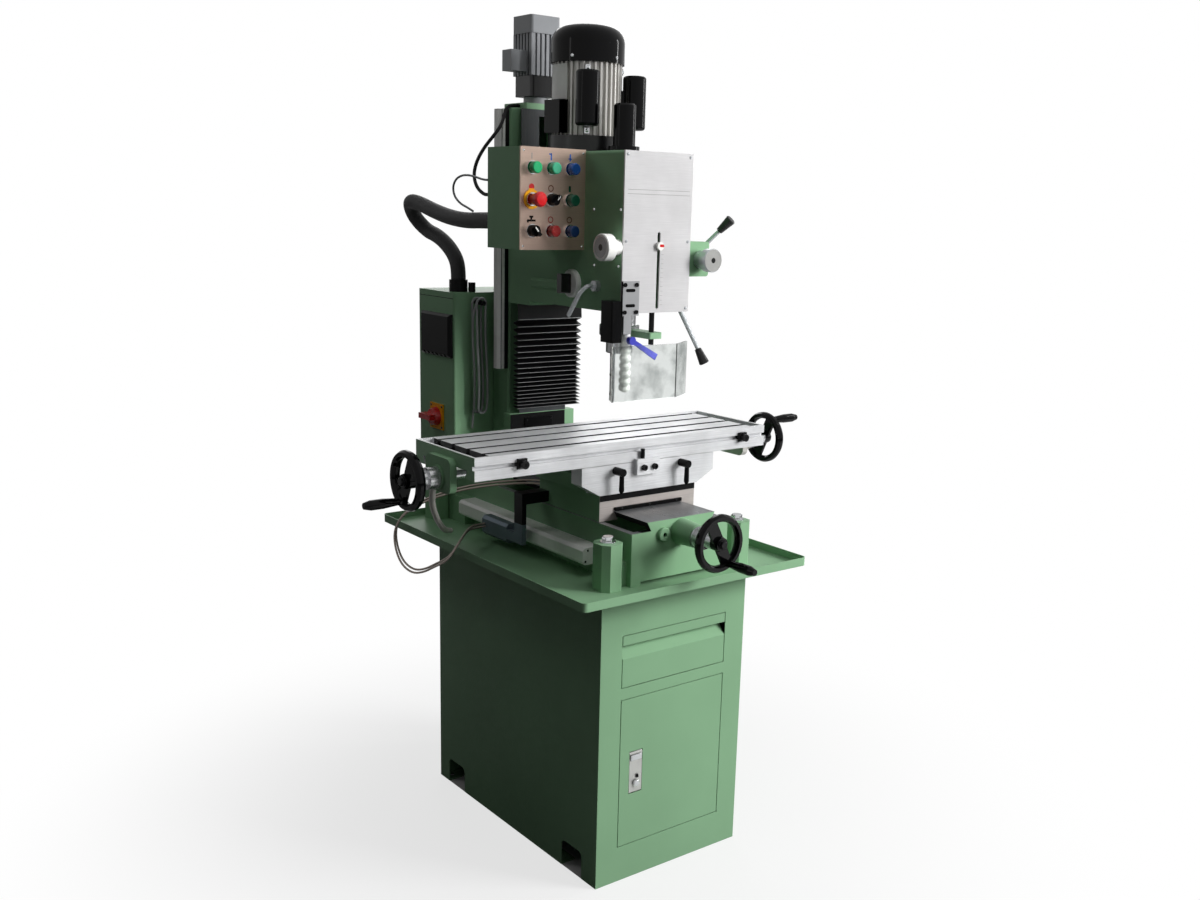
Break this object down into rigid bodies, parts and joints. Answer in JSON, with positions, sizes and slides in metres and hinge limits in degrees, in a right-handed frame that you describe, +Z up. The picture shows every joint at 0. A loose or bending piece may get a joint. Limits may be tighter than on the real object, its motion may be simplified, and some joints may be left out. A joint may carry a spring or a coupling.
{
  "type": "milling machine",
  "caption": "Column milling machine with geared head, cross table, chip tray and cabinet stand; the table, saddle, head, quill, spindle, door, drawer and controls move.",
  "frame": {"origin": "centre of the cabinet's footprint, on the floor", "axes": "+X along the table to the operator's right, +Y from the operator to the column, +Z up"},
  "size_m": [1.2108, 1.1114, 1.961],
  "materials": {
    "cabinet_paint": "satin",
    "casting_paint": "satin paint",
    "sheet_paint": "satin",
    "ground_iron": "ground",
    "bright_steel": "turned",
    "chrome": "polished",
    "aluminium": "anodised",
    "black_plastic": "matte",
    "black_rubber": "matte",
    "bellows_fabric": "matte",
    "white_plastic": "satin",
    "clear_plastic": "clear",
    "red_plastic": "gloss",
    "green_plastic": "gloss",
    "light_green_plastic": "gloss",
    "blue_plastic": "gloss"
  },
  "bodies": {
    "frame": {"cabinet": "cabinet_paint", "chip_tray": "sheet_paint", "base": "casting_paint", "column": "casting_paint", "linear_scales": "aluminium", "electrical_box": "sheet_paint", "lift_motor": "aluminium", "bellows": "bellows_fabric", "head_cables": "black_rubber", "cable_hank": "black_rubber"},
    "drawer": {"drawer": "cabinet_paint"},
    "door": {"door": "cabinet_paint"},
    "door_latch": {"door_latch": "chrome"},
    "main_switch": {"main_switch": "red_plastic"},
    "y_screw": {"y_screw": "bright_steel", "y_handwheel": "black_plastic"},
    "y_grip": {"y_grip": "black_plastic"},
    "saddle": {"saddle": "casting_paint", "scale_cables": "black_rubber"},
    "gib_lever_left": {"gib_lever_left": "black_plastic"},
    "gib_lever_right": {"gib_lever_right": "black_plastic"},
    "table": {"table": "ground_iron", "table_brackets": "casting_paint", "stop_dogs": "bright_steel", "drain_hose": "white_plastic"},
    "x_screw": {"x_screw": "bright_steel", "x_handwheels": "black_plastic"},
    "x_grip_left": {"x_grip_left": "black_plastic"},
    "x_grip_right": {"x_grip_right": "black_plastic"},
    "z_screw": {"z_screw": "bright_steel"},
    "head": {"head_casting": "casting_paint", "front_plate": "aluminium", "control_box": "sheet_paint", "control_plate": "aluminium", "motor_body": "aluminium", "motor_covers": "black_plastic", "feed_housing": "casting_paint", "guard_switch": "black_plastic", "coolant_nozzle": "white_plastic"},
    "tap_lever": {"tap_lever": "blue_plastic"},
    "quill": {"quill": "bright_steel", "depth_rod": "bright_steel"},
    "spindle": {"spindle": "bright_steel"},
    "motor_rotor": {"motor_rotor": "bright_steel"},
    "gear_shaft": {"gear_shaft": "bright_steel"},
    "drive_sleeve": {"drive_sleeve": "bright_steel"},
    "feed_hub": {"feed_hub": "chrome"},
    "fine_feed": {"fine_feed": "bright_steel"},
    "stop_knob": {"stop_knob": "aluminium"},
    "lock_lever": {"lock_lever": "chrome"},
    "guard": {"guard": "clear_plastic"},
    "button_green": {"button_green": "green_plastic"},
    "button_light_green": {"button_light_green": "light_green_plastic"},
    "button_blue": {"button_blue": "blue_plastic"},
    "button_dark_green": {"button_dark_green": "green_plastic"},
    "button_red": {"button_red": "red_plastic"},
    "button_dark_blue": {"button_dark_blue": "blue_plastic"},
    "emergency_stop": {"emergency_stop": "red_plastic"},
    "selector_upper": {"selector_upper": "black_plastic"},
    "selector_lower": {"selector_lower": "black_plastic"}
  },
  "joints": [
    {"name": "drawer_slide", "type": "slide", "parent": "frame", "child": "drawer", "axis": [0, -1, 0], "range_m": [0, 0.35]},
    {"name": "door_hinge", "type": "hinge", "parent": "frame", "child": "door", "pos_m": [0.152, -0.357, 0.266], "axis": [0, 0, 1], "range_deg": [0, 110]},
    {"name": "latch_hinge", "type": "hinge", "parent": "door", "child": "door_latch", "pos_m": [-0.105, -0.3515, 0.3095], "axis": [-1, 0, 0], "range_deg": [0, 40]},
    {"name": "main_switch_turn", "type": "hinge", "parent": "frame", "child": "main_switch", "pos_m": [-0.204, 0.381, 0.985], "axis": [1, 0, 0], "range_deg": [0, 90]},
    {"name": "y_screw_turn", "type": "hinge", "parent": "frame", "child": "y_screw", "pos_m": [0, -0.488, 0.819], "axis": [0, 1, 0], "range_deg": [-8102, 8552]},
    {"name": "y_grip_turn", "type": "hinge", "parent": "y_screw", "child": "y_grip", "pos_m": [0.02488, -0.5, 0.7722], "axis": [0, -1, 0], "continuous": true},
    {"name": "saddle_slide", "type": "slide", "parent": "frame", "child": "saddle", "axis": [0, 1, 0], "range_m": [-0.09, 0.095]},
    {"name": "gib_left_turn", "type": "hinge", "parent": "saddle", "child": "gib_lever_left", "pos_m": [-0.1, -0.245, 0.946], "axis": [0, -1, 0], "range_deg": [0, 90]},
    {"name": "gib_right_turn", "type": "hinge", "parent": "saddle", "child": "gib_lever_right", "pos_m": [0.09, -0.245, 0.946], "axis": [0, -1, 0], "range_deg": [0, 90]},
    {"name": "table_slide", "type": "slide", "parent": "saddle", "child": "table", "axis": [1, 0, 0], "range_m": [-0.183, 0.28], "deforming": ["drain_hose"]},
    {"name": "x_screw_turn", "type": "hinge", "parent": "table", "child": "x_screw", "pos_m": [-0.551, -0.12, 0.95], "axis": [1, 0, 0], "range_deg": [-16472, 25202]},
    {"name": "x_grip_left_turn", "type": "hinge", "parent": "x_screw", "child": "x_grip_left", "pos_m": [-0.6, -0.0976, 0.90197], "axis": [-1, 0, 0], "continuous": true},
    {"name": "x_grip_right_turn", "type": "hinge", "parent": "x_screw", "child": "x_grip_right", "pos_m": [0.53, -0.1424, 0.99803], "axis": [1, 0, 0], "continuous": true},
    {"name": "z_screw_turn", "type": "hinge", "parent": "frame", "child": "z_screw", "pos_m": [0, 0.244, 1.3], "axis": [0, 0, 1], "range_deg": [-5762, 14042]},
    {"name": "head_slide", "type": "slide", "parent": "frame", "child": "head", "axis": [0, 0, 1], "range_m": [-0.08, 0.195], "deforming": ["bellows", "head_cables"]},
    {"name": "feed_turn", "type": "hinge", "parent": "head", "child": "feed_hub", "pos_m": [0, -0.0618, 1.349], "axis": [1, 0, 0], "range_deg": [0, 413.8], "stiffness_Nm_per_rad": 0.6, "springref_deg": -515.66},
    {"name": "quill_slide", "type": "slide", "parent": "head", "child": "quill", "axis": [0, 0, -1], "range_m": [0, 0.1301]},
    {"name": "spindle_spin", "type": "hinge", "parent": "quill", "child": "spindle", "pos_m": [0, -0.115, 1.3], "axis": [0, 0, 1], "continuous": true},
    {"name": "motor_spin", "type": "hinge", "parent": "head", "child": "motor_rotor", "pos_m": [0, 0.03, 1.7], "axis": [0, 0, 1], "continuous": true},
    {"name": "idler_spin", "type": "hinge", "parent": "head", "child": "gear_shaft", "pos_m": [0.01193, -0.03084, 1.5], "axis": [0, 0, 1], "continuous": true},
    {"name": "sleeve_spin", "type": "hinge", "parent": "head", "child": "drive_sleeve", "pos_m": [0, -0.115, 1.6], "axis": [0, 0, 1], "continuous": true},
    {"name": "fine_feed_turn", "type": "hinge", "parent": "head", "child": "fine_feed", "pos_m": [0.139, -0.25, 1.41], "axis": [0, 1, 0], "continuous": true},
    {"name": "stop_knob_turn", "type": "hinge", "parent": "head", "child": "stop_knob", "pos_m": [-0.12, -0.228, 1.436], "axis": [1, 0, 0], "continuous": true},
    {"name": "lock_lever_turn", "type": "hinge", "parent": "head", "child": "lock_lever", "pos_m": [-0.095, -0.157, 1.349], "axis": [1, 0, 0], "range_deg": [-30, 20]},
    {"name": "guard_hinge", "type": "hinge", "parent": "head", "child": "guard", "pos_m": [-0.111, -0.238, 1.16], "axis": [0, 0, 1], "range_deg": [-110, 0]},
    {"name": "tap_lever_turn", "type": "hinge", "parent": "head", "child": "tap_lever", "pos_m": [-0.072, -0.253, 1.236], "axis": [0, 1, 0], "range_deg": [-90, 0]},
    {"name": "emergency_stop_push", "type": "slide", "parent": "head", "child": "emergency_stop", "axis": [0, 1, 0], "range_m": [0, 0.005], "stiffness_N_per_m": 500},
    {"name": "selector_upper_turn", "type": "hinge", "parent": "head", "child": "selector_upper", "pos_m": [-0.187, -0.11, 1.5325], "axis": [0, 1, 0], "range_deg": [-90, 0]},
    {"name": "selector_lower_turn", "type": "hinge", "parent": "head", "child": "selector_lower", "pos_m": [-0.237, -0.11, 1.466], "axis": [0, 1, 0], "range_deg": [0, 80]},
    {"name": "button_green_push", "type": "slide", "parent": "head", "child": "button_green", "axis": [0, 1, 0], "range_m": [0, 0.004], "stiffness_N_per_m": 400},
    {"name": "button_light_green_push", "type": "slide", "parent": "head", "child": "button_light_green", "axis": [0, 1, 0], "range_m": [0, 0.004], "stiffness_N_per_m": 400},
    {"name": "button_blue_push", "type": "slide", "parent": "head", "child": "button_blue", "axis": [0, 1, 0], "range_m": [0, 0.004], "stiffness_N_per_m": 400},
    {"name": "button_dark_green_push", "type": "slide", "parent": "head", "child": "button_dark_green", "axis": [0, 1, 0], "range_m": [0, 0.004], "stiffness_N_per_m": 400},
    {"name": "button_red_push", "type": "slide", "parent": "head", "child": "button_red", "axis": [0, 1, 0], "range_m": [0, 0.004], "stiffness_N_per_m": 400},
    {"name": "button_dark_blue_push", "type": "slide", "parent": "head", "child": "button_dark_blue", "axis": [0, 1, 0], "range_m": [0, 0.004], "stiffness_N_per_m": 400}
  ],
  "couplings": [
    {"joint": "y_screw_turn", "follows": "saddle_slide", "rad_per_m": 1570.8},
    {"joint": "x_screw_turn", "follows": "table_slide", "rad_per_m": 1570.8},
    {"joint": "z_screw_turn", "follows": "head_slide", "rad_per_m": 1256.6},
    {"joint": "quill_slide", "follows": "feed_turn", "m_per_rad": 0.018},
    {"joint": "idler_spin", "follows": "motor_spin", "ratio": -0.55},
    {"joint": "sleeve_spin", "follows": "motor_spin", "ratio": 0.27018},
    {"joint": "spindle_spin", "follows": "motor_spin", "ratio": 0.27018}
  ]
}
